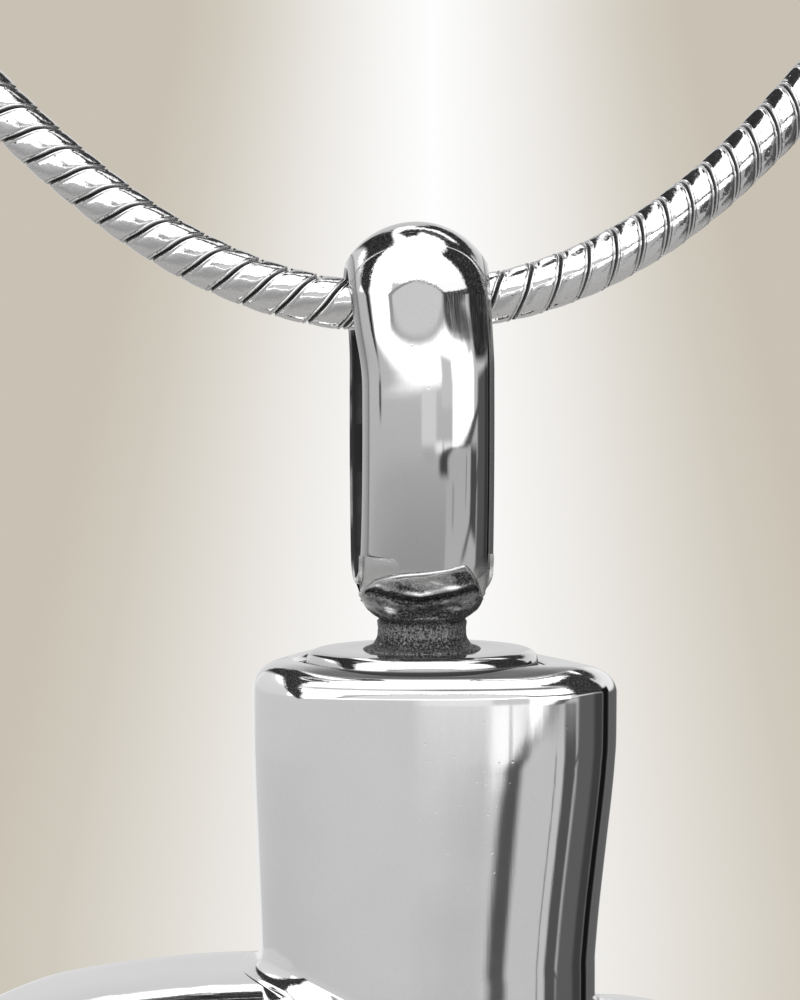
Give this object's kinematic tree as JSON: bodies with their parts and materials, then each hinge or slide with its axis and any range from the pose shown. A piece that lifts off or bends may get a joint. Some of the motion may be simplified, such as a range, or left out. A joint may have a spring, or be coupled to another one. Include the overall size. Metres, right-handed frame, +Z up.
{
  "type": "keepsake urn pendant on a snake chain",
  "caption": "Polished steel heart urn pendant with a screw cap and a long bail, hanging on a round snake chain.",
  "frame": {"origin": "the middle of the clasp at the nape, where the necklace hangs on a neck", "axes": "+Z up, -Y from the nape to the pendant at the front, +X to the right seen from the front"},
  "size_m": [0.1182, 0.1279, 0.2265],
  "materials": {
    "chain_steel": "polished steel, finely pitted",
    "clasp_steel": "polished steel",
    "bail_steel": "polished steel, grainy at the solder",
    "urn_steel": "mirror-polished steel"
  },
  "bodies": {
    "necklace": {"snake_chain": "chain_steel", "clasp": "clasp_steel"},
    "cap": {"bail_cap": "bail_steel"},
    "urn": {"urn_body": "urn_steel"}
  },
  "joints": [
    {"name": "pendant_swing", "type": "hinge", "parent": "necklace", "child": "cap", "pos_m": [0, -0.12, -0.178], "axis": [1, 0, 0], "range_deg": [-80, 80]},
    {"name": "urn_unscrew", "type": "slide", "parent": "cap", "child": "urn", "axis": [0, 0, -1], "range_m": [0, 0.006]}
  ]
}
